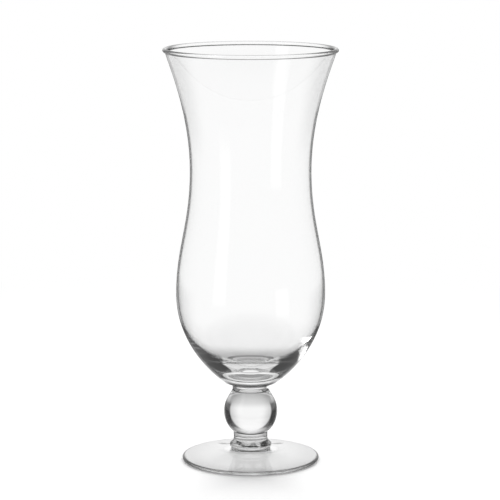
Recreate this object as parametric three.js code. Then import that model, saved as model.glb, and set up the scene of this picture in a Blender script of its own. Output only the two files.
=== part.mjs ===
// A footed sundae glass: a waisted bowl with a beaded rim on a ball stem and a round foot.
// The five gathers of glass are coaxial turned solids.
// Each one stands on a flat round seam on top of the one below.
import * as THREE from "three";

// Sizes are in millimetres. Heights run along Z from the table, radii from the glass's own axis.

// Foot: a low cone with a rounded edge, hollowed underneath so that it stands on a narrow flat ring.
const footRadius = 34.2;
const footEdgeThickness = 1.7;
const footRise = 6.3;
const footSlopeRadius = 19;
const footSlopeHeight = 3.7;
const footHollowDepth = 4.4;
const footHollowSpread = 8;
const restRingWidth = 1.15;
const restRingLean = THREE.MathUtils.degToRad(6);
const restRingHandle = 15;

// Lower collar: a rolled lip on the foot, drawn in to a short neck under the ball.
const collarLipRadius = 10.45;
const collarLipRound = 1.1;
const collarLipTurn = THREE.MathUtils.degToRad(50);
const collarHeight = 8;
const collarNeckRadius = 8.4;
const collarNeckDrop = 3.4;

// Ball of the stem: a sphere with a conical shoulder that leans in to the upper neck.
const ballRadius = 13.3;
const ballLowerSeamRadius = 8.6;
const ballUpperSeamRadius = 9;
const ballShoulderLean = THREE.MathUtils.degToRad(29.7);

// Upper collar: the short waisted neck between the ball and the bowl.
const neckHeight = 2.8;
const neckWaistRadius = 8.95;
const neckSeatRadius = 9.35;

// Bowl: a heavy base, a round belly, a drawn-in waist and a flared mouth.
const heelRadius = 12.5;
const heelRise = 0.95;
const heelLean = THREE.MathUtils.degToRad(31);
const heelHandle = 3;
const bellyRadius = 36.95;
const bellyAboveSeat = 45.7;
const bellyHandleDown = 27;
const bellyHandleUp = 23.4;
const waistRadius = 29.9;
const waistAboveBelly = 62;
const waistHandleDown = 26.8;
const waistHandleUp = 28.1;
const rimRadius = 43.05;
const rimAboveWaist = 60;
const rimLean = THREE.MathUtils.degToRad(15.6);
const rimHandle = 7.2;
const beadRadius = 1.05;
const beadJoinAngle = THREE.MathUtils.degToRad(100);
const beadInnerAngle = THREE.MathUtils.degToRad(197);
const wallThickness = 1.2;
const baseThickness = 7.7;
const bellyInnerHandle = 20.5;
const floorHandle = 23.6;

// Shade of the clear glass: heavier gathers look a little greyer than the thin bowl.
const bowlShade = 0.95;
const collarShade = 0.92;
const ballShade = 0.9;
const footShade = 0.93;
const glassRoughness = 0.04;
const glassOpacity = 0.35;

// How finely the curves and the turned faces are cut.
const bowlCurveSteps = 8;
const stemCurveSteps = 5;
const footCurveSteps = 4;
const turnFacets = 48;

// Levels of the flat seams, each stacked on the one below.
const collarSeam = footRise;
const ballLowerSeam = collarSeam + collarHeight;
const ballCentre = ballLowerSeam + Math.sqrt(ballRadius ** 2 - ballLowerSeamRadius ** 2);
const shoulderRadius = ballRadius * Math.cos(ballShoulderLean);
const shoulderHeight = ballCentre + ballRadius * Math.sin(ballShoulderLean);
const shoulderRise = (shoulderRadius - ballUpperSeamRadius) / Math.tan(ballShoulderLean);
const ballUpperSeam = shoulderHeight + shoulderRise;
const bowlSeam = ballUpperSeam + neckHeight;
const bellyHeight = bowlSeam + bellyAboveSeat;
const waistHeight = bellyHeight + waistAboveBelly;
const rimHeight = waistHeight + rimAboveWaist;

// The lip of the lower collar rolls in to this radius where it is fused to the foot.
const collarSeatRadius = collarLipRadius - collarLipRound;

function clearGlass(shade) {
  return new THREE.MeshStandardMaterial({
    color: new THREE.Color(shade, shade, shade),
    roughness: glassRoughness,
    metalness: 0,
    transparent: true,
    opacity: glassOpacity,
  });
}

// A solid turned about Z from an outline of (radius, height) that starts and ends on the axis.
function turned(name, outline, steps, shade) {
  const geometry = new THREE.LatheGeometry(outline.getPoints(steps), turnFacets);
  geometry.rotateX(Math.PI / 2);
  const mesh = new THREE.Mesh(geometry, clearGlass(shade));
  mesh.name = name;
  return mesh;
}

function foot() {
  const edgeRadius = footEdgeThickness / 2;
  const ringOuterRadius = footRadius - edgeRadius;
  const ringInnerRadius = ringOuterRadius - restRingWidth;
  const outline = new THREE.Path();
  outline.moveTo(0, footHollowDepth);
  outline.bezierCurveTo(
    footHollowSpread,
    footHollowDepth,
    ringInnerRadius - restRingHandle * Math.cos(restRingLean),
    restRingHandle * Math.sin(restRingLean),
    ringInnerRadius,
    0,
  );
  outline.lineTo(ringOuterRadius, 0);
  outline.absarc(ringOuterRadius, edgeRadius, edgeRadius, -Math.PI / 2, Math.PI / 2, false);
  outline.quadraticCurveTo(footSlopeRadius, footSlopeHeight, collarSeatRadius, footRise);
  outline.lineTo(0, footRise);
  return turned("foot", outline, footCurveSteps, footShade);
}

function footCollar() {
  const lipHeight = collarSeam + collarLipRound;
  const flareRadius = collarSeatRadius + collarLipRound * Math.cos(collarLipTurn);
  const flareHeight = lipHeight + collarLipRound * Math.sin(collarLipTurn);
  const neckLevel = ballLowerSeam - collarNeckDrop;
  // The flare leaves the lip along its tangent and turns upright at the neck.
  const bendHeight = flareHeight + (flareRadius - collarNeckRadius) / Math.tan(collarLipTurn);
  const outline = new THREE.Path();
  outline.moveTo(0, collarSeam);
  outline.lineTo(collarSeatRadius, collarSeam);
  outline.absarc(collarSeatRadius, lipHeight, collarLipRound, -Math.PI / 2, collarLipTurn, false);
  outline.quadraticCurveTo(collarNeckRadius, bendHeight, collarNeckRadius, neckLevel);
  outline.quadraticCurveTo(collarNeckRadius, ballLowerSeam, ballLowerSeamRadius, ballLowerSeam);
  outline.lineTo(0, ballLowerSeam);
  return turned("foot_collar", outline, footCurveSteps, collarShade);
}

function ballKnop() {
  const lowerAngle = Math.atan2(ballLowerSeam - ballCentre, ballLowerSeamRadius);
  const outline = new THREE.Path();
  outline.moveTo(0, ballLowerSeam);
  outline.lineTo(ballLowerSeamRadius, ballLowerSeam);
  outline.absarc(0, ballCentre, ballRadius, lowerAngle, ballShoulderLean, false);
  outline.lineTo(ballUpperSeamRadius, ballUpperSeam);
  outline.lineTo(0, ballUpperSeam);
  return turned("ball_knop", outline, stemCurveSteps, ballShade);
}

function bowlCollar() {
  const outline = new THREE.Path();
  outline.moveTo(0, ballUpperSeam);
  outline.lineTo(ballUpperSeamRadius, ballUpperSeam);
  outline.quadraticCurveTo(neckWaistRadius, ballUpperSeam + neckHeight / 2, neckSeatRadius, bowlSeam);
  outline.lineTo(0, bowlSeam);
  return turned("bowl_collar", outline, footCurveSteps, collarShade);
}

function bowl() {
  const heelHeight = bowlSeam + heelRise;
  const beadCentreRadius = rimRadius - beadRadius;
  const beadCentreHeight = rimHeight - beadRadius;
  const wallTopRadius = beadCentreRadius + beadRadius * Math.cos(beadJoinAngle);
  const wallTopHeight = beadCentreHeight - beadRadius * Math.sin(beadJoinAngle);
  const insideTopRadius = beadCentreRadius + beadRadius * Math.cos(beadInnerAngle);
  const insideTopHeight = beadCentreHeight + beadRadius * Math.sin(beadInnerAngle);
  const flareIn = rimHandle * Math.sin(rimLean);
  const flareDown = rimHandle * Math.cos(rimLean);
  const bellyInside = bellyRadius - wallThickness;
  const waistInside = waistRadius - wallThickness;
  const floorHeight = bowlSeam + baseThickness;

  const outline = new THREE.Path();
  outline.moveTo(0, bowlSeam);
  outline.lineTo(neckSeatRadius, bowlSeam);
  outline.lineTo(heelRadius, heelHeight);
  // Outside, upwards: heel to belly, belly to waist, waist to bead.
  outline.bezierCurveTo(
    heelRadius + heelHandle * Math.cos(heelLean),
    heelHeight + heelHandle * Math.sin(heelLean),
    bellyRadius,
    bellyHeight - bellyHandleDown,
    bellyRadius,
    bellyHeight,
  );
  outline.bezierCurveTo(
    bellyRadius,
    bellyHeight + bellyHandleUp,
    waistRadius,
    waistHeight - waistHandleDown,
    waistRadius,
    waistHeight,
  );
  outline.bezierCurveTo(
    waistRadius,
    waistHeight + waistHandleUp,
    wallTopRadius - flareIn,
    wallTopHeight - flareDown,
    wallTopRadius,
    wallTopHeight,
  );
  outline.absarc(beadCentreRadius, beadCentreHeight, beadRadius, -beadJoinAngle, beadInnerAngle, false);
  // Inside, downwards: bead to waist, waist to belly, belly to the middle of the floor.
  outline.bezierCurveTo(
    insideTopRadius - flareIn,
    insideTopHeight - flareDown,
    waistInside,
    waistHeight + waistHandleUp,
    waistInside,
    waistHeight,
  );
  outline.bezierCurveTo(
    waistInside,
    waistHeight - waistHandleDown,
    bellyInside,
    bellyHeight + bellyHandleUp,
    bellyInside,
    bellyHeight,
  );
  outline.bezierCurveTo(
    bellyInside,
    bellyHeight - bellyInnerHandle,
    floorHandle,
    floorHeight,
    0,
    floorHeight,
  );
  return turned("bowl", outline, bowlCurveSteps, bowlShade);
}

const sundaeGlass = new THREE.Group();
sundaeGlass.name = "sundae_glass";
sundaeGlass.add(foot(), footCollar(), ballKnop(), bowlCollar(), bowl());

export default sundaeGlass;
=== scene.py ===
import math

import bpy
import numpy as np
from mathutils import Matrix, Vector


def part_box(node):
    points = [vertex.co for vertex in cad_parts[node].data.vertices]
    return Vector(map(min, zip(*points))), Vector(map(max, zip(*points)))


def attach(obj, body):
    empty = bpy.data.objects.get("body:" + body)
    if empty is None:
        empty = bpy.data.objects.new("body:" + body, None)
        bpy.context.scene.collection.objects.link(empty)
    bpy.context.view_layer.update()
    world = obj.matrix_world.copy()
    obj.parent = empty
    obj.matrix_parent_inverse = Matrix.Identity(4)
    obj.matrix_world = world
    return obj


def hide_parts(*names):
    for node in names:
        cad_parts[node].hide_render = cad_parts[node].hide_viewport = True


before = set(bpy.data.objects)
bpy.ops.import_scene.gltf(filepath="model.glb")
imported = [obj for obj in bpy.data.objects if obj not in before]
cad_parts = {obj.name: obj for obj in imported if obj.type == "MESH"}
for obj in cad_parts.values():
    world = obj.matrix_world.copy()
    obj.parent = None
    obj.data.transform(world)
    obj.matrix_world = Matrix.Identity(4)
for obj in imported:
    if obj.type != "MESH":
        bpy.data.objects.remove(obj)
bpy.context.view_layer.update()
print("frame loaded:", sorted(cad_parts))

mm = 0.001
onAxis = 1e-7   # a smaller radius counts as the axis
samePoint = 1e-9   # outline points closer than this are one
farOut = 1.0   # wider and higher than any piece
white = (1, 1, 1, 1)


# Outlines are rows of (radius, height) in metres, run from the foot's underside up to the cup's floor.

def lineRun(start, end, count=40):   # straight stretch, even steps from start to end
    share = np.linspace(0, 1, count)[:, None]
    return (1 - share) * np.array(start) + share * np.array(end)


def pullRun(start, pull, end, count=120):   # one pull point: (1-t)^2 start + 2t(1-t) pull + t^2 end
    t = np.linspace(0, 1, count)[:, None]
    return (1 - t) ** 2 * np.array(start) + 2 * t * (1 - t) * np.array(pull) + t ** 2 * np.array(end)


def bendRun(start, pullA, pullB, end, count=400):   # two pull points: the cubic of the same family
    t = np.linspace(0, 1, count)[:, None]
    near = (1 - t) ** 3 * np.array(start) + 3 * t * (1 - t) ** 2 * np.array(pullA)
    return near + 3 * t ** 2 * (1 - t) * np.array(pullB) + t ** 3 * np.array(end)


def arcRun(centre, radius, fromAngle, toAngle, count=160):   # centre + radius (cos a, sin a)
    angle = np.linspace(fromAngle, toAngle, count)[:, None]
    return np.array(centre) + radius * np.hstack([np.cos(angle), np.sin(angle)])


def turnTo(angle):   # unit step (cos a, sin a)
    return np.array([math.cos(angle), math.sin(angle)])


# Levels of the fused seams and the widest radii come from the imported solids.
def nodeBox(name):
    low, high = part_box(name)
    return {"bottom": low.z, "top": high.z, "radius": high.x}


footBox = nodeBox("foot")
footCollarBox = nodeBox("foot_collar")
ballBox = nodeBox("ball_knop")
bowlCollarBox = nodeBox("bowl_collar")
bowlBox = nodeBox("bowl")


# Small rolls of glass get dark lines painted along their edges, a painted shade, so each has its own
# version of the glass.
# A roll is that glass's name, then the low and high corner of a box of (radius, height) that holds it.
def bandRoll(glassName, low, high):   # roll that goes all round between two levels
    return (glassName, (0, low), (farOut, high))


# Foot: hollow underneath, flat rest ring, round edge, low cone up to the collar.
footSpec = {
    "hollowDepth": 4.4 * mm,
    "hollowSpread": 8.0 * mm,
    "ringWidth": 1.15 * mm,
    "ringLean": math.radians(6),
    "ringPull": 15.0 * mm,
    "edgeThickness": 1.7 * mm,
    "edgeRollWidth": 1.3 * mm,
    "edgeRollHeight": 1.75 * mm,
    "slopeRadius": 19.0 * mm,
    "slopeHeight": 3.7 * mm,
    "seatRadius": 9.35 * mm,
}


def footOutline(spec, box):
    half = spec["edgeThickness"] / 2
    edgeCentre = (box["radius"] - half, box["bottom"] + half)
    crown = (edgeCentre[0], box["bottom"] + spec["edgeThickness"])
    ring = (edgeCentre[0] - spec["ringWidth"], box["bottom"])
    lean = turnTo(math.pi - spec["ringLean"]) * spec["ringPull"]
    hollow = (0, box["bottom"] + spec["hollowDepth"])
    return [
        bendRun(hollow, (spec["hollowSpread"], hollow[1]), ring + lean, ring),
        lineRun(ring, (edgeCentre[0], box["bottom"])),
        arcRun(edgeCentre, half, -math.pi / 2, math.pi / 2),
        pullRun(crown, (spec["slopeRadius"], spec["slopeHeight"]), (spec["seatRadius"], box["top"])),
    ]


def footRolls(spec, box):
    inner = (box["radius"] - spec["edgeRollWidth"], 0)
    return [("edgeGlass", inner, (farOut, spec["edgeRollHeight"]))]


# Lower collar: a rolled lip on the foot, then a neck up to the ball.
footCollarSpec = {
    "lipRound": 1.1 * mm,
    "lipTurn": math.radians(50),
    "lipRollLow": 7.7 * mm,
    "lipRollHigh": 10.2 * mm,
    "neckRadius": 8.4 * mm,
    "neckDrop": 3.4 * mm,
    "topRadius": 8.6 * mm,
    "topJoin": 0.3 * mm,
}


def footCollarOutline(spec, box):
    lip = (footSpec["seatRadius"], box["bottom"] + spec["lipRound"])
    flare = lip + spec["lipRound"] * turnTo(spec["lipTurn"])
    bend = (spec["neckRadius"], flare[1] + (flare[0] - spec["neckRadius"]) / math.tan(spec["lipTurn"]))
    neck = (spec["neckRadius"], box["top"] - spec["neckDrop"])
    return [
        arcRun(lip, spec["lipRound"], -math.pi / 2, spec["lipTurn"]),
        pullRun(flare, bend, neck),
        pullRun(neck, (spec["neckRadius"], box["top"]), (spec["topRadius"], box["top"])),
    ]


def footCollarRolls(spec, box):
    return [
        bandRoll("lipGlass", spec["lipRollLow"], spec["lipRollHigh"]),
        bandRoll("joinGlass", box["top"] - spec["topJoin"], box["top"]),
    ]


# Ball of the stem: a sphere whose shoulder leans in to the upper neck.
ballSpec = {
    "radius": 13.3 * mm,
    "shoulderLean": math.radians(29.7),
    "topRadius": 9.0 * mm,
    "arcPoints": 240,
    "bottomJoin": 0.4 * mm,
    "topJoin": 0.3 * mm,
}
ballMiddle = ballBox["bottom"] + math.sqrt(ballSpec["radius"] ** 2 - footCollarSpec["topRadius"] ** 2)


def ballOutline(spec, box):
    fromAngle = math.atan2(box["bottom"] - ballMiddle, footCollarSpec["topRadius"])
    sphere = arcRun((0, ballMiddle), spec["radius"], fromAngle, spec["shoulderLean"], spec["arcPoints"])
    return [sphere, lineRun(sphere[-1], (spec["topRadius"], box["top"]))]


# Upper collar: the short waisted neck under the bowl.
bowlCollarSpec = {
    "waistRadius": 8.95 * mm,
    "seatRadius": 9.35 * mm,
    "bottomJoin": 0.3 * mm,
    "topJoin": 0.35 * mm,
}


def bowlCollarOutline(spec, box):
    middle = (spec["waistRadius"], (box["bottom"] + box["top"]) / 2)
    return [pullRun((ballSpec["topRadius"], box["bottom"]), middle, (spec["seatRadius"], box["top"]))]


def bothJoins(spec, box):   # ball and upper collar: a join at each end
    return [
        bandRoll("joinGlass", box["bottom"], box["bottom"] + spec["bottomJoin"]),
        bandRoll("joinGlass", box["top"] - spec["topJoin"], box["top"]),
    ]


# Bowl: heavy base, round belly, drawn-in waist, flared mouth with a beaded rim, then the inside back down.
bowlSpec = {
    "heelRadius": 12.5 * mm,
    "heelRise": 0.95 * mm,
    "heelLean": math.radians(31),
    "heelPull": 3.0 * mm,
    "heelRollInner": 11.5 * mm,
    "heelRollOuter": 14.5 * mm,
    "heelRollHeight": 2.1 * mm,
    "bellyRadius": 36.95 * mm,
    "bellyAboveSeat": 45.7 * mm,
    "bellyPullDown": 27.0 * mm,
    "bellyPullUp": 23.4 * mm,
    "waistRadius": 29.9 * mm,
    "waistAboveBelly": 62.0 * mm,
    "waistPullDown": 26.8 * mm,
    "waistPullUp": 28.1 * mm,
    "rimLean": math.radians(15.6),
    "rimPull": 7.2 * mm,
    "beadRadius": 1.05 * mm,
    "beadJoin": math.radians(100),
    "beadInside": math.radians(197),
    "beadRollHeight": 2.1 * mm,
    "creaseWidth": 1.3 * mm,   # the crease under the bead, measured in and down from the rim
    "creaseFrom": 1.2 * mm,
    "creaseTo": 2.6 * mm,
    "wall": 1.2 * mm,
    "baseThickness": 7.7 * mm,
    "bellyInnerPull": 20.5 * mm,
    "floorPull": 23.6 * mm,
}


def bowlOutline(spec, box):
    seat = (bowlCollarSpec["seatRadius"], box["bottom"])
    heel = (spec["heelRadius"], box["bottom"] + spec["heelRise"])
    heelTurn = turnTo(spec["heelLean"]) * spec["heelPull"]
    belly = (spec["bellyRadius"], box["bottom"] + spec["bellyAboveSeat"])
    waist = (spec["waistRadius"], belly[1] + spec["waistAboveBelly"])
    bead = (box["radius"] - spec["beadRadius"], box["top"] - spec["beadRadius"])
    beadRun = arcRun(bead, spec["beadRadius"], -spec["beadJoin"], spec["beadInside"])
    flare = turnTo(math.pi / 2 - spec["rimLean"]) * spec["rimPull"]
    inBelly = (belly[0] - spec["wall"], belly[1])
    inWaist = (waist[0] - spec["wall"], waist[1])
    floor = (0, box["bottom"] + spec["baseThickness"])
    waistDown, waistUp = -spec["waistPullDown"], spec["waistPullUp"]

    def above(point, rise):
        return (point[0], point[1] + rise)

    return [
        lineRun(seat, heel),
        bendRun(heel, heel + heelTurn, above(belly, -spec["bellyPullDown"]), belly),
        bendRun(belly, above(belly, spec["bellyPullUp"]), above(waist, waistDown), waist),
        bendRun(waist, above(waist, waistUp), beadRun[0] - flare, beadRun[0]),
        beadRun,
        bendRun(beadRun[-1], beadRun[-1] - flare, above(inWaist, waistUp), inWaist),
        bendRun(inWaist, above(inWaist, waistDown), above(inBelly, spec["bellyPullUp"]), inBelly),
        bendRun(inBelly, above(inBelly, -spec["bellyInnerPull"]), (spec["floorPull"], floor[1]), floor),
    ]


def bowlRolls(spec, box):
    creaseLow = (box["radius"] - spec["creaseWidth"], box["top"] - spec["creaseTo"])
    heelHigh = (spec["heelRollOuter"], box["bottom"] + spec["heelRollHeight"])
    return [
        bandRoll("beadGlass", box["top"] - spec["beadRollHeight"], farOut),
        ("creaseGlass", creaseLow, (farOut, box["top"] - spec["creaseFrom"])),
        ("joinGlass", (spec["heelRollInner"], box["bottom"]), heelHigh),
    ]


# Each gather of glass: the solid it stands for, its glass, a slot name that nothing here reads, its outline
# and its rolls.
gathers = [
    ("foot", "footGlass", "foot_glass", footOutline(footSpec, footBox), footRolls(footSpec, footBox)),
    ("foot_collar", "stemGlass", "stem_glass", footCollarOutline(footCollarSpec, footCollarBox),
     footCollarRolls(footCollarSpec, footCollarBox)),
    ("ball_knop", "ballGlass", "stem_glass", ballOutline(ballSpec, ballBox), bothJoins(ballSpec, ballBox)),
    ("bowl_collar", "stemGlass", "stem_glass", bowlCollarOutline(bowlCollarSpec, bowlCollarBox),
     bothJoins(bowlCollarSpec, bowlCollarBox)),
    ("bowl", "bowlGlass", "bowl_glass", bowlOutline(bowlSpec, bowlBox), bowlRolls(bowlSpec, bowlBox)),
]


# Hot glass has no sharp crease, so the whole outline is run through one soft average along its length.
meltSpec = {
    "step": 0.04 * mm,
    "soften": 0.22 * mm,
    "bellWidths": 4,
    "longestStep": 1.6 * mm,
    "largestTurn": math.radians(2.6),
}


def distanceAlong(points):   # running sum of the steps from point to point
    return np.concatenate([[0], np.cumsum(np.hypot(*np.diff(points, axis=0).T))])


def pointsAt(places, along, points):   # outline points at the given places along it
    return np.stack([np.interp(places, along, column) for column in points.T], 1)


def evenSteps(points, step):   # same outline with points at equal distance along it
    along = distanceAlong(points)
    keep = np.concatenate([[True], np.diff(along) > samePoint])
    places = np.linspace(0, along[-1], int(along[-1] / step))
    return pointsAt(places, along[keep], points[keep]), places


def melted(points, spec):   # each point becomes the bell-weighted mean of its neighbours along the outline
    reach = int(spec["bellWidths"] * spec["soften"] / spec["step"])
    offset = np.arange(-reach, reach + 1) * spec["step"]
    weight = np.exp(-0.5 * (offset / spec["soften"]) ** 2)
    weight /= weight.sum()
    mirror = np.array([-1, 1])   # past the axis the outline goes on mirrored
    padded = np.vstack([points[reach:0:-1] * mirror, points, points[-2:-reach - 2:-1] * mirror])
    soft = np.stack([np.convolve(column, weight, "valid") for column in padded.T], 1)
    soft[[0, -1], 0] = 0
    return soft


def thinned(points, spec):   # fewer points: spacing follows how fast the outline turns
    step = np.diff(points, axis=0)
    length = np.hypot(step[:, 0], step[:, 1])
    heading = np.unwrap(np.arctan2(step[:, 1], step[:, 0]))
    turn = np.abs(np.gradient(heading))
    need = np.concatenate([[0], np.cumsum(length / spec["longestStep"] + turn / spec["largestTurn"])])
    places = np.linspace(0, need[-1], int(need[-1]) + 2)
    return pointsAt(places, need, points)


gatherRuns = [runs for _, _, _, runs, _ in gathers]
wholeRun, wholePlaces = evenSteps(np.vstack([run for runs in gatherRuns for run in runs]), meltSpec["step"])
softRun = melted(wholeRun, meltSpec)
gatherLengths = [sum(distanceAlong(run)[-1] for run in runs) for runs in gatherRuns]
seamMarks = np.searchsorted(wholePlaces, np.cumsum(gatherLengths)[:-1])
gatherMarks = np.concatenate([[0], seamMarks, [len(softRun) - 1]])
print("outline softened:", len(softRun), "points, seams at", np.round(softRun[seamMarks, 1] / mm, 2), "mm")


# Turned piece: radius and height from the outline, swept round Z as (r cos a, r sin a, z).
# A flat seam disc closes each end that isn't on the axis.
# A face whose middle is in a roll's box gets that roll's glass.
turnSpec = {"segments": 208}
seamLayer = 1   # material slots: the piece's glass, the fused seam, then one for each roll
firstRollLayer = 2


def turnedPiece(name, outline, spec, rolls):
    closedBelow = outline[0, 0] > onAxis
    closedAbove = outline[-1, 0] > onAxis
    profile = outline
    if closedBelow:
        profile = np.vstack([[0, outline[0, 1]], profile])
    if closedAbove:
        profile = np.vstack([profile, [0, outline[-1, 1]]])
    rings = profile[1:-1]
    count = len(rings)
    around = spec["segments"]
    angle = np.arange(around) * 2 * np.pi / around
    grid = np.empty((count, around, 3))
    grid[:, :, 0] = rings[:, :1] * np.cos(angle)
    grid[:, :, 1] = rings[:, :1] * np.sin(angle)
    grid[:, :, 2] = rings[:, 1:]
    poles = np.array([[0, 0, profile[0, 1]], [0, 0, profile[-1, 1]]])
    points = np.vstack([grid.reshape(-1, 3), poles])
    firstPole = count * around
    lastPole = firstPole + 1
    ring = np.arange(firstPole).reshape(count, around)
    onward = np.roll(ring, -1, axis=1)
    walls = np.stack([ring[:-1], onward[:-1], onward[1:], ring[1:]], 2).reshape(-1, 4)
    below = np.stack([np.full(around, firstPole), onward[0], ring[0]], 1)
    above = np.stack([np.full(around, lastPole), ring[-1], onward[-1]], 1)
    mesh = bpy.data.meshes.new(name)
    mesh.from_pydata(points.tolist(), [], walls.tolist() + below.tolist() + above.tolist())
    middle = (rings[:-1] + rings[1:]) / 2
    wallLayer = np.zeros(count - 1, int)
    for layer, (_, low, high) in enumerate(rolls, firstRollLayer):
        wallLayer[((middle >= low) & (middle <= high)).all(1)] = layer
    endLayers = np.repeat([seamLayer * closedBelow, seamLayer * closedAbove], around)
    mesh.polygons.foreach_set("material_index", np.concatenate([np.repeat(wallLayer, around), endLayers]))
    mesh.polygons.foreach_set("use_smooth", np.ones(len(mesh.polygons), bool))
    ends = np.zeros(len(mesh.edges) * 2, int)
    mesh.edges.foreach_get("vertices", ends)
    ringOf = ends.reshape(-1, 2) // around
    sharp = closedBelow & (ringOf == 0).all(1)
    sharp |= closedAbove & (ringOf == count - 1).all(1)
    mesh.attributes.new("sharp_edge", "BOOLEAN", "EDGE").data.foreach_set("value", sharp)
    mesh.update()
    piece = bpy.data.objects.new(name, mesh)
    bpy.context.scene.collection.objects.link(piece)
    return piece


# Nodes: small helpers so that a material reads as a list of steps.
mixSockets = {"FLOAT": (0, 2, 3, 0), "RGBA": (0, 6, 7, 2)}   # share, first, second and result of a Mix node


def addNode(tree, kind, **settings):
    node = tree.nodes.new(kind)
    for key, value in settings.items():
        if hasattr(node, key):
            setattr(node, key, value)
        else:
            node.inputs[key].default_value = value
    return node


def feed(tree, value, socket):   # a number or colour is set on the socket, an output is linked to it
    if isinstance(value, (int, float, tuple)):
        socket.default_value = value
    else:
        tree.links.new(value, socket)


def mathStep(tree, operation, *values):
    node = addNode(tree, "ShaderNodeMath", operation=operation)
    for value, socket in zip(values, node.inputs):
        feed(tree, value, socket)
    return node.outputs[0]


def allOf(tree, first, *others):   # product of shares, 1 only where each of them is
    for other in others:
        first = mathStep(tree, "MULTIPLY", first, other)
    return first


def mapStep(tree, value, low, high, toLow=0.0, toHigh=1.0):   # smooth step: toLow at low, toHigh at high
    node = addNode(tree, "ShaderNodeMapRange", interpolation_type="SMOOTHSTEP")
    feed(tree, value, node.inputs["Value"])
    for label, number in (("From Min", low), ("From Max", high), ("To Min", toLow), ("To Max", toHigh)):
        feed(tree, number, node.inputs[label])
    return node.outputs["Result"]


def blendStep(tree, share, first, second, kind="FLOAT"):   # first where share is 0, second where it is 1
    node = addNode(tree, "ShaderNodeMix", data_type=kind)
    *inputs, result = mixSockets[kind]
    for index, value in zip(inputs, (share, first, second)):
        feed(tree, value, node.inputs[index])
    return node.outputs[result]


def splitStep(tree, vector):
    node = tree.nodes.new("ShaderNodeSeparateXYZ")
    tree.links.new(vector, node.inputs[0])
    return node.outputs


# Fire-polished glass surface: broad waviness, faint smears in the polish, a breath of colour.
finishSpec = {
    "waveDetail": 1.5,
    "waveRoughness": 0.4,
    "smearDetail": 4.0,
    "smearRoughness": 0.6,
    "smearDistortion": 1.2,
    "smearFrom": 0.52,
    "smearTo": 0.78,
}
finishValues = {   # socket of the group and the glass's own value for it
    "Wave Scale": "waveScale",
    "Smear Scale": "smearScale",
    "Roughness": "roughness",
    "Smear": "smear",
    "Depth": "depth",
}


def makeFinishGroup(spec):
    group = bpy.data.node_groups.new("firePolish", "ShaderNodeTree")
    face = group.interface
    face.new_socket("Vector", in_out="INPUT", socket_type="NodeSocketVector")
    for label in finishValues:
        face.new_socket(label, in_out="INPUT", socket_type="NodeSocketFloat")
    face.new_socket("Tint", in_out="INPUT", socket_type="NodeSocketColor")
    face.new_socket("Color", in_out="OUTPUT", socket_type="NodeSocketColor")
    face.new_socket("Roughness", in_out="OUTPUT", socket_type="NodeSocketFloat")
    face.new_socket("Height", in_out="OUTPUT", socket_type="NodeSocketFloat")
    given = group.nodes.new("NodeGroupInput").outputs
    result = group.nodes.new("NodeGroupOutput").inputs
    wave = addNode(group, "ShaderNodeTexNoise", Detail=spec["waveDetail"], Roughness=spec["waveRoughness"])
    smear = addNode(
        group, "ShaderNodeTexNoise", Detail=spec["smearDetail"], Roughness=spec["smearRoughness"],
        Distortion=spec["smearDistortion"])
    for noise, scale in ((wave, "Wave Scale"), (smear, "Smear Scale")):
        group.links.new(given["Vector"], noise.inputs["Vector"])
        group.links.new(given[scale], noise.inputs["Scale"])
    patch = mapStep(group, smear.outputs["Fac"], spec["smearFrom"], spec["smearTo"])
    smeared = mathStep(group, "MULTIPLY_ADD", patch, given["Smear"], given["Roughness"])
    shade = allOf(group, wave.outputs["Fac"], given["Depth"])
    colour = blendStep(group, shade, white, given["Tint"], "RGBA")
    group.links.new(colour, result["Color"])
    group.links.new(smeared, result["Roughness"])
    group.links.new(wave.outputs["Fac"], result["Height"])
    return group


firePolish = makeFinishGroup(finishSpec)


# Clear glass: the polish, and a painted shade: the glass colour darkens where the surface is seen edge on,
# standing in for the dark lines that real glass shows at its edges.
def makeGlass(name, spec):
    material = bpy.data.materials.new(name)
    material.use_nodes = True
    tree = material.node_tree
    shader = tree.nodes["Principled BSDF"]
    shader.inputs["Transmission Weight"].default_value = 1.0
    shader.inputs["IOR"].default_value = spec["ior"]
    place = tree.nodes.new("ShaderNodeTexCoord").outputs["Object"]
    finish = addNode(tree, "ShaderNodeGroup", node_tree=firePolish)
    for label, key in finishValues.items():
        finish.inputs[label].default_value = spec[key]
    finish.inputs["Tint"].default_value = spec["tint"] + (1,)
    tree.links.new(place, finish.inputs["Vector"])
    tree.links.new(finish.outputs["Roughness"], shader.inputs["Roughness"])
    edge = tree.nodes.new("ShaderNodeLayerWeight")
    paintedShadeShare = mapStep(tree, edge.outputs["Facing"], spec["edgeFrom"], spec["edgeTo"])
    if "breakTo" in spec:   # the grey is broken up along the roll
        whole = mapStep(
            tree, finish.outputs["Height"], spec["breakFrom"], spec["breakTo"], spec["breakLeft"])
        paintedShadeShare = allOf(tree, paintedShadeShare, whole)
    if "fadeTo" in spec:   # the grey fades out above and below a level
        fromLevel = mathStep(tree, "SUBTRACT", splitStep(tree, place)["Z"], spec["fadeLevel"])
        away = mathStep(tree, "ABSOLUTE", fromLevel)
        paintedShadeShare = allOf(tree, paintedShadeShare, mapStep(tree, away, spec["fadeFrom"], spec["fadeTo"], 1.0, 0.0))
    # Painted shade: the dark tone that the glass colour turns to where the surface is edge on.
    shadeGrey = (spec["paintedShadeTone"],) * 3 + (1,)
    withPaintedShade = blendStep(tree, paintedShadeShare, finish.outputs["Color"], shadeGrey, "RGBA")
    tree.links.new(withPaintedShade, shader.inputs["Base Color"])
    bump = addNode(tree, "ShaderNodeBump", Distance=spec["waveHeight"])
    tree.links.new(finish.outputs["Height"], bump.inputs["Height"])
    tree.links.new(bump.outputs["Normal"], shader.inputs["Normal"])
    return material


# The edge keys of each glass set its painted shade: how edge on the surface must be, and the dark tone its
# colour takes there.
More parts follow.
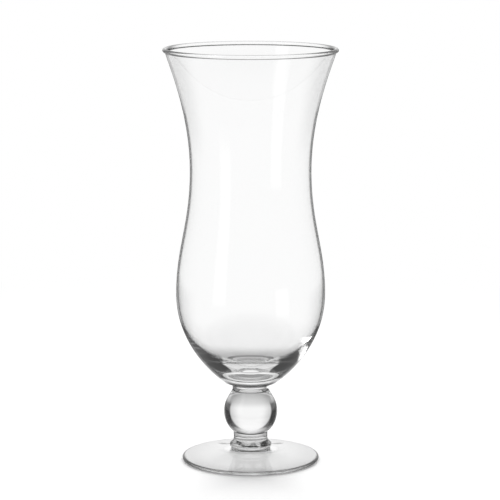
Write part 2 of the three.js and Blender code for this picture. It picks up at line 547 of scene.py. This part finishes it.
bowlGlassSpec = {
    "ior": 1.52, "tint": (0.90, 0.93, 0.93), "depth": 0.05, "roughness": 0.0, "smear": 0.015,
    "waveScale": 34.0, "smearScale": 150.0, "waveHeight": 0.012 * mm,
    "edgeFrom": 0.8, "edgeTo": 1.0, "paintedShadeTone": 0.4,
}
stemGlassSpec = {
    "ior": 1.52, "tint": (0.90, 0.93, 0.94), "depth": 0.05, "roughness": 0.0, "smear": 0.012,
    "waveScale": 120.0, "smearScale": 320.0, "waveHeight": 0.012 * mm,
    "edgeFrom": 0.5, "edgeTo": 0.8, "paintedShadeTone": 0.1,
}
footGlassSpec = {
    "ior": 1.52, "tint": (0.90, 0.93, 0.94), "depth": 0.05, "roughness": 0.0, "smear": 0.02,
    "waveScale": 70.0, "smearScale": 240.0, "waveHeight": 0.014 * mm,
    "edgeFrom": 0.9, "edgeTo": 1.0, "paintedShadeTone": 0.5,
}
# Painted shade: dark crescents are painted into the ball's colour on its flanks, fading out towards its
# shoulder and its foot.
ballGlassSpec = dict(
    stemGlassSpec, edgeFrom=0.32, edgeTo=0.4, paintedShadeTone=0.035,
    fadeLevel=ballMiddle - 0.5 * mm, fadeFrom=5.2 * mm, fadeTo=7.6 * mm,
)
# The collar's lip is uneven, and the painted dark line along it, a painted shade, is broken up by the same
# waviness, so it comes and goes.
lipGlassSpec = dict(
    stemGlassSpec, edgeFrom=-0.4, edgeTo=0.3, paintedShadeTone=0.01,
    waveScale=330.0, waveHeight=0.10 * mm, breakFrom=0.42, breakTo=0.54, breakLeft=0.25,
)
glassSpecs = {
    "bowlGlass": bowlGlassSpec,
    "stemGlass": stemGlassSpec,
    "footGlass": footGlassSpec,
    "ballGlass": ballGlassSpec,
    "lipGlass": lipGlassSpec,
    # The rolls' glasses paint stronger shade along the edges of the bead, the crease under it, the foot's
    # edge and the joins.
    "beadGlass": dict(bowlGlassSpec, edgeFrom=0.42, edgeTo=0.72, paintedShadeTone=0.08),
    "creaseGlass": dict(bowlGlassSpec, edgeFrom=0.2, edgeTo=0.6, paintedShadeTone=0.06),
    "edgeGlass": dict(footGlassSpec, edgeFrom=0.2, edgeTo=0.6, paintedShadeTone=0.01),
    "joinGlass": dict(stemGlassSpec, edgeFrom=-0.3, edgeTo=0.2, paintedShadeTone=0.03),
}
glasses = {name: makeGlass(name, spec) for name, spec in glassSpecs.items()}


# Where two gathers are fused there is no surface left to see, so the seam discs let light straight through.
def makeFusedSeam():
    material = bpy.data.materials.new("fusedSeam")
    material.use_nodes = True
    material.node_tree.nodes["Principled BSDF"].inputs["Alpha"].default_value = 0.0
    return material


fusedSeam = makeFusedSeam()
print("glass mixed:", sorted(glasses))

for index, (node, glassName, slotName, _, rolls) in enumerate(gathers):
    stretch = thinned(softRun[gatherMarks[index]:gatherMarks[index + 1] + 1], meltSpec)
    piece = turnedPiece(node + "_shell", stretch, turnSpec, rolls)
    for layer in [glasses[glassName], fusedSeam] + [glasses[roll[0]] for roll in rolls]:
        piece.data.materials.append(layer)
    piece.visible_shadow = node != "bowl"   # a thin clear wall throws no shadow worth the name
    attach(piece, "root")
    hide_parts(node)
    print("turned", piece.name, len(stretch), "outline points", len(piece.data.polygons), "faces")


# Camera: a long lens a little above the rim; the picture is 500 pixels square.
cameraSpec = {
    "place": (0.0, -1.120, 0.299),
    "pitchDown": math.radians(9.7775),
    "turnLeft": math.radians(0.0162),
    "focalPixels": 2297.0,
    "picturePixels": 500.0,
    "sensorWidth": 36.0,
    "clipEnd": 50.0,
}


def makeCamera(spec):
    data = bpy.data.cameras.new("studioCamera")
    data.sensor_width = spec["sensorWidth"]
    data.lens = spec["sensorWidth"] * spec["focalPixels"] / spec["picturePixels"]
    data.clip_end = spec["clipEnd"]
    camera = bpy.data.objects.new("studioCamera", data)
    camera.location = spec["place"]
    camera.rotation_euler = (math.pi / 2 - spec["pitchDown"], 0, spec["turnLeft"])
    bpy.context.scene.collection.objects.link(camera)
    bpy.context.scene.camera = camera


makeCamera(cameraSpec)
print("camera placed")


# Studio: a white sweep behind the glass, dark flags beside it, two strip lights before it, a top light.
# Light Path picks what a ray meets: the camera sees plain white, the glass sees the surround.
# Angles are measured round the glass from the sweep's middle, or up from the floor.
studioSpec = {
    "sweepEven": math.radians(12),   # the sweep dims from here to its edge, and upwards
    "sweepEdge": math.radians(38.5),
    "sweepDim": 0.62,
    "sweepTilt": 0.3,
    "sweepLow": math.radians(18),
    "sweepHigh": math.radians(60),
    "sweepTop": 0.12,
    "edgeSoft": math.radians(1.5),
    "flagTone": 0.05,   # the flags turn paler towards the viewer, and for rays that go straight through
    "flagBack": math.radians(75),
    "flagFront": math.radians(135),
    "flagFrontTone": 0.16,
    "paleTone": 0.18,
    "openFrom": math.radians(60),   # straight rays see open sweep again from here on
    "openTo": math.radians(68),
    "stripFrom": math.radians(121),
    "stripTo": math.radians(142),
    "stripSoft": math.radians(2.5),
    "stripTone": 1.15,
    "frontFrom": math.radians(142),
    "frontTo": math.radians(150),
    "frontTone": 0.45,
    "topFrom": math.radians(50),   # the top light, and what is above for rays turned once, twice or often
    "topTo": math.radians(62),
    "topTone": 0.25,
    "insideTopFrom": math.radians(27),
    "insideTopTo": math.radians(36),
    "insideTopTone": 0.05,
    "manyTopTone": 0.75,
    "trappedTone": 0.09,
    "lostFrom": math.radians(48),
    "lostTo": math.radians(62),
    "lostTone": 0.1,
    "mirrorFrom": math.radians(28.5),   # the wall's outer line mirrors dark up to here and pale beyond
    "mirrorTo": math.radians(31.5),
    "mirrorLow": math.radians(15),
    "mirrorHigh": math.radians(50),
    "mirrorEdge": 0.18,
    "mirrorDark": 0.02,
    "mirrorGlow": 0.68,
    "glowSide": math.radians(60),
    "glowFront": math.radians(95),
    "flareTone": 0.45,
    "gapTone": 0.35,
    "innerFrom": math.radians(42),
    "innerTo": math.radians(48),
    "throughLow": math.radians(20),   # what shows through both walls of the bowl
    "throughHigh": math.radians(48),
    "throughTop": 0.3,
    "skyFill": 0.66,   # light on the floor, and how dark its shadow gets
    "shadowTone": 0.75,
}
raySpec = {   # depths are whole numbers: a limit lies between two of them, a slack says how near counts
    "none": 0.5,
    "oneWall": 2.5,
    "once": 1.0,
    "onceSlack": 0.1,
    "onceOrTwice": 1.5,
    "onceOrTwiceSlack": 0.6,
    "many": 2.5,
    "lost": 3.5,
    "trapped": 9.5,
}


def aroundStep(tree, direction):   # angle away from +Y, 0 behind the glass and 180 degrees before it
    axes = splitStep(tree, direction)
    return mathStep(tree, "ARCTAN2", mathStep(tree, "ABSOLUTE", axes["X"]), axes["Y"])


def onLeft(tree, position):   # 1 on the left of the glass as the viewer sees it
    return mathStep(tree, "LESS_THAN", splitStep(tree, position)["X"], 0.0)


def lookedThrough(tree, path):   # 1 for a ray that has crossed both walls of the bowl
    deep = mathStep(tree, "GREATER_THAN", path["Transmission Depth"], raySpec["oneWall"])
    return allOf(tree, deep, path["Is Transmission Ray"])


def straightThrough(tree, path):   # 1 for a ray that has crossed one piece and was never turned back
    shallow = mathStep(tree, "LESS_THAN", path["Transmission Depth"], raySpec["oneWall"])
    direct = mathStep(tree, "LESS_THAN", path["Glossy Depth"], raySpec["none"])
    return allOf(tree, shallow, path["Is Transmission Ray"], direct)


def mirroredOnce(tree, path):   # 1 for a ray that one surface has turned back
    return mathStep(tree, "COMPARE", path["Glossy Depth"], raySpec["once"], raySpec["onceSlack"])


def turnedOver(tree, path, limit):   # 1 for a ray turned back more often than the limit
    return mathStep(tree, "GREATER_THAN", path["Glossy Depth"], limit)


def lostInBase(tree, path, around, studio):   # 1 for a ray turned often in the heavy base and sent sideways
    sideways = mapStep(tree, around, studio["lostFrom"], studio["lostTo"])
    return allOf(tree, turnedOver(tree, path, raySpec["lost"]), sideways)


def besideSweep(tree, around, studio):   # 1 past the edge of the sweep
    soft = studio["edgeSoft"]
    return mapStep(tree, around, studio["sweepEdge"] - soft, studio["sweepEdge"] + soft)


def stripShare(tree, around, studio):   # 1 in the direction of the two strip lights
    soft = studio["stripSoft"]
    rising = mapStep(tree, around, studio["stripFrom"] - soft, studio["stripFrom"] + soft)
    falling = mapStep(tree, around, studio["stripTo"] - soft, studio["stripTo"] + soft, 1.0, 0.0)
    return allOf(tree, rising, falling)


# Floor: a wide pale disc just under the rest ring.
# Near the glass it takes the shadow, further off it is white.
# Reach is the distance from the glass's axis, rise how much longer a ray is than its reach.
# To the glass the floor glows with a painted surround: painted shadow near the glass and under the foot,
# painted reflections and a painted highlight.
floorSpec = {
    "radius": 12.0,
    "drop": 0.15 * mm,
    "facets": 96,
    "colour": 0.97,
    "shadowReach": 0.16,
    "whiteReach": 0.5,
    # Painted shadow: the sweep floor is darker near the glass.
    "sweepNear": 0.025,
    "sweepFar": 0.09,
    "sweepShadowTone": 0.36,
    "sweepFarTone": 0.95,
    "flagNear": 0.125,
    "flagFar": 0.16,
    "flagNearTone": 0.22,
    "paleNearTone": 0.5,
    "frontTone": 0.3,
    "mirrorNear": 0.07,
    "mirrorFar": 0.2,
    "footSide": -0.021,   # rise of rays mirrored by the foot, the wall, the waist and the flare
    "wallSide": -0.013,
    "waistSide": 0.0107,
    "flareSide": 0.0125,
    "innerStart": 0.19,   # reach of rays mirrored inside the lower belly's wall
    "innerFull": 0.24,
    "innerNear": 0.38,
    "innerFar": 0.48,
    "glowNear": 0.4,
    "glowFar": 0.85,
    "glowNearTone": 0.14,
    "leftStripNear": 0.35,
    "leftStripFar": 0.6,
    "rightStripNear": 0.15,
    "rightStripFar": 0.3,
    "rightStripEnd": 1.2,
    "rightStripGone": 2.4,
    # Painted shadow: near the glass the floor is darker for rays that look through both walls of the bowl.
    "throughNear": 0.02,
    "throughFar": 0.13,
    "throughShadowTone": 0.28,
    # Painted shadow under the foot, seen through it.
    "underNear": 0.018,   # under the foot, for rays that are short when they land
    "underFar": 0.031,
    "underShadowNearTone": 0.78,
    "underShadowFarTone": 0.62,
    "underShort": 0.016,
    "underLong": 0.026,
    "footReach": 0.036,
    "footClear": 0.042,
    "clearTone": 0.98,
}

# Glint: a painted highlight, a bright patch glowing on the floor to the right, seen only by rays mirrored
# once, so it shows in the lower belly; its edge is ragged.
glintSpec = {
    "place": (0.075, 0.081, 0.0),
    "turn": math.radians(16),
    "halfWidth": 0.015,
    "halfLength": 0.064,
    "raggedScale": 130.0,
    "raggedDetail": 2.0,
    "solid": 1.1,
    "gone": 1.6,
    "tone": 4.5,
    "lowest": -0.002,   # rise of the rays that may see it
    "low": 0.002,
    "high": 0.02,
    "highest": 0.03,
}


def glintShare(tree, position, rise, spec):   # 1 inside a turned ellipse with a noisy edge
    glintPatch = addNode(tree, "ShaderNodeMapping", vector_type="TEXTURE")
    glintPatch.inputs["Location"].default_value = spec["place"]
    glintPatch.inputs["Rotation"].default_value = (0, 0, spec["turn"])
    glintPatch.inputs["Scale"].default_value = (spec["halfWidth"], spec["halfLength"], 1)
    tree.links.new(position, glintPatch.inputs["Vector"])
    size = addNode(tree, "ShaderNodeVectorMath", operation="LENGTH")
    tree.links.new(glintPatch.outputs["Vector"], size.inputs[0])
    ragged = addNode(tree, "ShaderNodeTexNoise", Scale=spec["raggedScale"], Detail=spec["raggedDetail"])
    tree.links.new(position, ragged.inputs["Vector"])
    edge = mathStep(tree, "ADD", size.outputs["Value"], ragged.outputs["Fac"])
    inside = mapStep(tree, edge, spec["solid"], spec["gone"], 1.0, 0.0)
    aboveBall = mapStep(tree, rise, spec["lowest"], spec["low"])
    belowRim = mapStep(tree, rise, spec["high"], spec["highest"], 1.0, 0.0)
    return allOf(tree, inside, aboveBall, belowRim)


# What the floor shows to most rays, as glow: the sweep, the flags beside it and paper before the glass.
# Near the glass the sweep floor is darker, a painted shadow.
def floorSurround(tree, straight, around, reach, spec, studio):
    sweepFloorShadowed = mapStep(
        tree, reach, spec["sweepNear"], spec["sweepFar"], spec["sweepShadowTone"], spec["sweepFarTone"])
    dim = mapStep(tree, around, studio["sweepEven"], studio["sweepEdge"], 1.0, studio["sweepDim"])
    flagNear, flagFar = spec["flagNear"], spec["flagFar"]
    flag = mapStep(tree, reach, flagNear, flagFar, spec["flagNearTone"], studio["flagTone"])
    paleFlag = mapStep(tree, reach, flagNear, flagFar, spec["paleNearTone"], studio["paleTone"])
    flag = blendStep(tree, straight, flag, paleFlag)
    before = mapStep(tree, around, studio["flagBack"], studio["flagFront"])
    opened = mapStep(tree, around, studio["openFrom"], studio["openTo"])
    tone = blendStep(tree, besideSweep(tree, around, studio), allOf(tree, sweepFloorShadowed, dim), flag)
    tone = blendStep(tree, before, tone, spec["frontTone"])
    return blendStep(tree, allOf(tree, straight, opened), tone, sweepFloorShadowed)


# Painted reflection: the floor glows with what the bowl's edge mirrors, dark just beside the line of sight,
# pale further round and up in the flare.
# Inside the lower belly's wall the dark lies further round, with a paler gap before it.
def floorMirror(tree, path, around, reach, rise, spec, studio):
    inside = mathStep(tree, "GREATER_THAN", path["Transmission Depth"], raySpec["none"])
    near = mapStep(tree, reach, spec["innerNear"], spec["innerFar"], 1.0, 0.0)
    near = allOf(tree, near, mapStep(tree, reach, spec["innerStart"], spec["innerFull"]), inside)
    dark = blendStep(tree, inside, studio["mirrorEdge"], studio["mirrorDark"])
    inFlare = mapStep(tree, rise, spec["waistSide"], spec["flareSide"])
    dark = blendStep(tree, inFlare, dark, studio["flareTone"])
    dark = blendStep(tree, near, dark, studio["gapTone"])
    glowNear, glowFar = spec["glowNear"], spec["glowFar"]
    glow = mapStep(tree, reach, glowNear, glowFar, spec["glowNearTone"], studio["mirrorGlow"])
    facing = mapStep(tree, around, studio["glowSide"], studio["glowFront"])
    glow = blendStep(tree, facing, glow, studio["mirrorGlow"])
    inner = allOf(tree, mapStep(tree, around, studio["innerFrom"], studio["innerTo"], 1.0, 0.0), near)
    glow = blendStep(tree, inner, glow, studio["mirrorDark"])
    return blendStep(tree, mapStep(tree, around, studio["mirrorFrom"], studio["mirrorTo"]), dark, glow)


# Painted reflection: the floor glows at the strip tone where a strip light would be mirrored.
def floorStrips(tree, position, around, reach, spec, studio):   # 1 where a strip light is mirrored
    left = mapStep(tree, reach, spec["leftStripNear"], spec["leftStripFar"])
    right = mapStep(tree, reach, spec["rightStripNear"], spec["rightStripFar"])
    rightEnd = mapStep(tree, reach, spec["rightStripEnd"], spec["rightStripGone"], 1.0, 0.0)
    lit = blendStep(tree, onLeft(tree, position), allOf(tree, right, rightEnd), left)
    return allOf(tree, lit, stripShare(tree, around, studio))


# All that the floor shows to the glass, one thing laid over the other; the paper under the foot, with its
# painted shadow, comes last.
def floorTone(tree, position, path, reach, spec, studio):
    around = aroundStep(tree, position)
    rise = mathStep(tree, "SUBTRACT", path["Ray Length"], reach)
    straight = straightThrough(tree, path)
    once = mirroredOnce(tree, path)
    deep = lookedThrough(tree, path)
    tone = floorSurround(tree, straight, around, reach, spec, studio)
    fromWall = mapStep(tree, rise, spec["footSide"], spec["wallSide"])
    aside = mapStep(tree, around, studio["mirrorFrom"], studio["mirrorTo"])
    mirror = allOf(tree, mapStep(tree, reach, spec["mirrorNear"], spec["mirrorFar"]), once)
    mirror = allOf(tree, mirror, mathStep(tree, "MAXIMUM", fromWall, aside))
    tone = blendStep(tree, mirror, tone, floorMirror(tree, path, around, reach, rise, spec, studio))
    strips = floorStrips(tree, position, around, reach, spec, studio)
    tone = blendStep(tree, allOf(tree, strips, once), tone, studio["stripTone"])
    # Painted highlight: the glint glows on the floor for rays mirrored once.
    glint = glintShare(tree, position, rise, glintSpec)
    tone = blendStep(tree, allOf(tree, glint, once), tone, glintSpec["tone"])
    through = mapStep(tree, reach, spec["throughNear"], spec["throughFar"], spec["throughShadowTone"], 1.0)
    through = blendStep(tree, lostInBase(tree, path, around, studio), through, studio["lostTone"])
    tone = blendStep(tree, deep, tone, through)
    under = mapStep(
        tree, reach, spec["underNear"], spec["underFar"], spec["underShadowNearTone"], spec["underShadowFarTone"])
    clear = mapStep(tree, reach, spec["footReach"], spec["footClear"])
    under = blendStep(tree, clear, under, spec["clearTone"])
    covered = allOf(tree, straight, mathStep(tree, "SUBTRACT", 1.0, clear))
    outside = mapStep(tree, path["Ray Length"], spec["underShort"], spec["underLong"])
    outside = mathStep(tree, "SUBTRACT", mathStep(tree, "MAXIMUM", outside, deep), covered)
    return blendStep(tree, outside, under, tone)


def clearedMaterial(name):   # a stage material with nothing but its output, left out of light sampling
    material = bpy.data.materials.new(name)
    material.use_nodes = True
    material.cycles.emission_sampling = "NONE"
    tree = material.node_tree
    tree.nodes.clear()
    return material, tree, tree.nodes.new("ShaderNodeOutputMaterial")


def mixShaders(tree, output, share, first, second):   # first where share is 0, second where it is 1
    mix = tree.nodes.new("ShaderNodeMixShader")
    for value, socket in zip((share, first.outputs[0], second.outputs[0]), mix.inputs):
        tree.links.new(value, socket)
    tree.links.new(mix.outputs[0], output.inputs["Surface"])


def makeFloor(spec, studio):   # disc of (radius cos a, radius sin a, -drop)
    angle = np.arange(spec["facets"]) * 2 * np.pi / spec["facets"]
    rim = np.stack([np.cos(angle), np.sin(angle), 0 * angle], 1) * spec["radius"] - [0, 0, spec["drop"]]
    mesh = bpy.data.meshes.new("studioFloor")
    mesh.from_pydata(rim.tolist(), [], [list(range(spec["facets"]))])
    floor = bpy.data.objects.new("studioFloor", mesh)
    bpy.context.scene.collection.objects.link(floor)
    material, tree, output = clearedMaterial("palePaper")
    position = tree.nodes.new("ShaderNodeTexCoord").outputs["Object"]
    path = tree.nodes.new("ShaderNodeLightPath").outputs
    length = addNode(tree, "ShaderNodeVectorMath", operation="LENGTH")
    tree.links.new(position, length.inputs[0])
    reach = length.outputs["Value"]
    tone = floorTone(tree, position, path, reach, spec, studio)
    tone = blendStep(tree, path["Is Camera Ray"], tone, 1.0)
    farOff = mapStep(tree, reach, spec["shadowReach"], spec["whiteReach"])
    share = blendStep(tree, path["Is Camera Ray"], 1.0, farOff)
    paper = addNode(tree, "ShaderNodeBsdfDiffuse", Color=(spec["colour"],) * 3 + (1,))
    glow = tree.nodes.new("ShaderNodeEmission")
    tree.links.new(tone, glow.inputs["Strength"])
    mixShaders(tree, output, share, paper, glow)
    mesh.materials.append(material)
    return floor


makeFloor(floorSpec, studioSpec)


# Tent: a glowing white band round the cup, painted light met only by rays that leave through one wall of
# the bowl.
tentSpec = {"radius": 0.1, "bottom": 0.11, "belowRim": 0.004, "tone": 1.0, "facets": 180}


def makeTent(spec, rim):   # (radius cos a, radius sin a, z) for two heights
    low = np.arange(spec["facets"])
    angle = low * 2 * np.pi / spec["facets"]
    circle = np.stack([np.cos(angle), np.sin(angle)], 1) * spec["radius"]
    heights = np.repeat([spec["bottom"], rim - spec["belowRim"]], spec["facets"])
    points = np.column_stack([np.tile(circle, (2, 1)), heights])
    onward = np.roll(low, -1)
    faces = np.stack([onward, low, low + spec["facets"], onward + spec["facets"]], 1)
    mesh = bpy.data.meshes.new("lightTent")
    mesh.from_pydata(points.tolist(), [], faces.tolist())
    tent = bpy.data.objects.new("lightTent", mesh)
    tent.visible_camera = False
    tent.visible_diffuse = False
    tent.visible_shadow = False
    bpy.context.scene.collection.objects.link(tent)
    material, tree, output = clearedMaterial("tentGlow")
    path = tree.nodes.new("ShaderNodeLightPath").outputs
    clear = tree.nodes.new("ShaderNodeBsdfTransparent")
    glow = addNode(tree, "ShaderNodeEmission", Strength=spec["tone"])
    mixShaders(tree, output, straightThrough(tree, path), clear, glow)
    mesh.materials.append(material)
    return tent


makeTent(tentSpec, bowlBox["top"])
print("floor and tent set")


# Surround: the same studio above the floor, for rays that leave it upwards.
def makeWorld(studio):
    world = bpy.data.worlds.new("studio")
    bpy.context.scene.world = world
    world.use_nodes = True
    tree = world.node_tree
    background = tree.nodes["Background"]
    background.inputs["Color"].default_value = white
    direction = tree.nodes.new("ShaderNodeTexCoord").outputs["Generated"]
    path = tree.nodes.new("ShaderNodeLightPath").outputs
    around = aroundStep(tree, direction)
    rise = mathStep(tree, "ARCSINE", splitStep(tree, direction)["Z"])
    straight = straightThrough(tree, path)
    once = mirroredOnce(tree, path)
    many = turnedOver(tree, path, raySpec["many"])
    above = mapStep(tree, rise, studio["topFrom"], studio["topTo"])
    insideTop = mapStep(tree, rise, studio["insideTopFrom"], studio["insideTopTo"])
    steep = allOf(tree, above, many)
    fewTurns = mathStep(
        tree, "COMPARE", path["Glossy Depth"], raySpec["onceOrTwice"], raySpec["onceOrTwiceSlack"])
    insideDark = allOf(tree, insideTop, fewTurns, path["Is Transmission Ray"])

    # Sweep, flags and front.
    dim = mapStep(tree, around, studio["sweepEven"], studio["sweepEdge"], 1.0, studio["sweepDim"])
    tilted = mathStep(tree, "MULTIPLY_ADD", around, studio["sweepTilt"], rise)
    fade = mapStep(tree, tilted, studio["sweepLow"], studio["sweepHigh"], 1.0, studio["sweepTop"])
    flagBack, flagFront = studio["flagBack"], studio["flagFront"]
    flag = mapStep(tree, around, flagBack, flagFront, studio["flagTone"], studio["flagFrontTone"])
    flag = blendStep(tree, straight, flag, studio["paleTone"])
    before = mapStep(tree, around, studio["frontFrom"], studio["frontTo"])
    opened = mapStep(tree, around, studio["openFrom"], studio["openTo"])
    seen = blendStep(tree, besideSweep(tree, around, studio), allOf(tree, dim, fade), flag)
    seen = blendStep(tree, before, seen, studio["frontTone"])
    seen = blendStep(tree, allOf(tree, opened, straight), seen, fade)

    # Mirrored glow, left strip light and top light.
    low = mapStep(tree, rise, studio["mirrorLow"], studio["mirrorHigh"], 1.0, 0.0)
    aside = mapStep(tree, around, studio["mirrorFrom"], studio["mirrorTo"])
    seen = blendStep(tree, allOf(tree, low, aside, once), seen, studio["mirrorGlow"])
    strip = allOf(tree, stripShare(tree, around, studio), once, onLeft(tree, direction))
    seen = blendStep(tree, strip, seen, studio["stripTone"])
    seen = blendStep(tree, above, seen, studio["topTone"])
    seen = blendStep(tree, turnedOver(tree, path, raySpec["trapped"]), seen, studio["trappedTone"])
    seen = blendStep(tree, steep, seen, studio["manyTopTone"])
    seen = blendStep(tree, insideDark, seen, studio["insideTopTone"])

    # Rays that look through both walls.
    through = mapStep(tree, rise, studio["throughLow"], studio["throughHigh"], 1.0, studio["throughTop"])
    through = blendStep(tree, above, through, studio["topTone"])
    through = blendStep(tree, insideDark, through, studio["insideTopTone"])
    through = blendStep(tree, allOf(tree, insideTop, many), through, studio["manyTopTone"])
    through = blendStep(tree, lostInBase(tree, path, around, studio), through, studio["lostTone"])
    through = blendStep(tree, steep, through, studio["manyTopTone"])
    seen = blendStep(tree, lookedThrough(tree, path), seen, through)

    bounced = mathStep(tree, "GREATER_THAN", path["Diffuse Depth"], raySpec["none"])
    seen = blendStep(tree, bounced, seen, studio["shadowTone"])
    glassy = mathStep(tree, "MAXIMUM", path["Is Glossy Ray"], path["Is Transmission Ray"])
    tone = blendStep(tree, path["Is Camera Ray"], studio["skyFill"], 1.0)
    tone = blendStep(tree, glassy, tone, seen)
    tree.links.new(tone, background.inputs["Strength"])


makeWorld(studioSpec)


# Low wide light from behind: throws the pale shadow of foot and stem towards the viewer.
lampSpec = {"rise": math.radians(23), "spread": math.radians(52), "strength": 4.0}


def makeLamp(spec):
    data = bpy.data.lights.new("backLight", "SUN")
    data.angle = spec["spread"]
    data.energy = spec["strength"]
    lamp = bpy.data.objects.new("backLight", data)
    lamp.rotation_euler = (spec["rise"] - math.pi / 2, 0, 0)
    lamp.visible_camera = False
    lamp.visible_glossy = False
    lamp.visible_transmission = False
    bpy.context.scene.collection.objects.link(lamp)


makeLamp(lampSpec)

# Light is turned many times inside the heavy base before it leaves.
bounceSpec = {
    "max_bounces": 64,
    "glossy_bounces": 48,
    "transmission_bounces": 32,
    "transparent_max_bounces": 64,
}
for setting, limit in bounceSpec.items():
    setattr(bpy.context.scene.cycles, setting, limit)
bpy.context.scene.view_settings.view_transform = "Standard"
print("surround and lamp set")
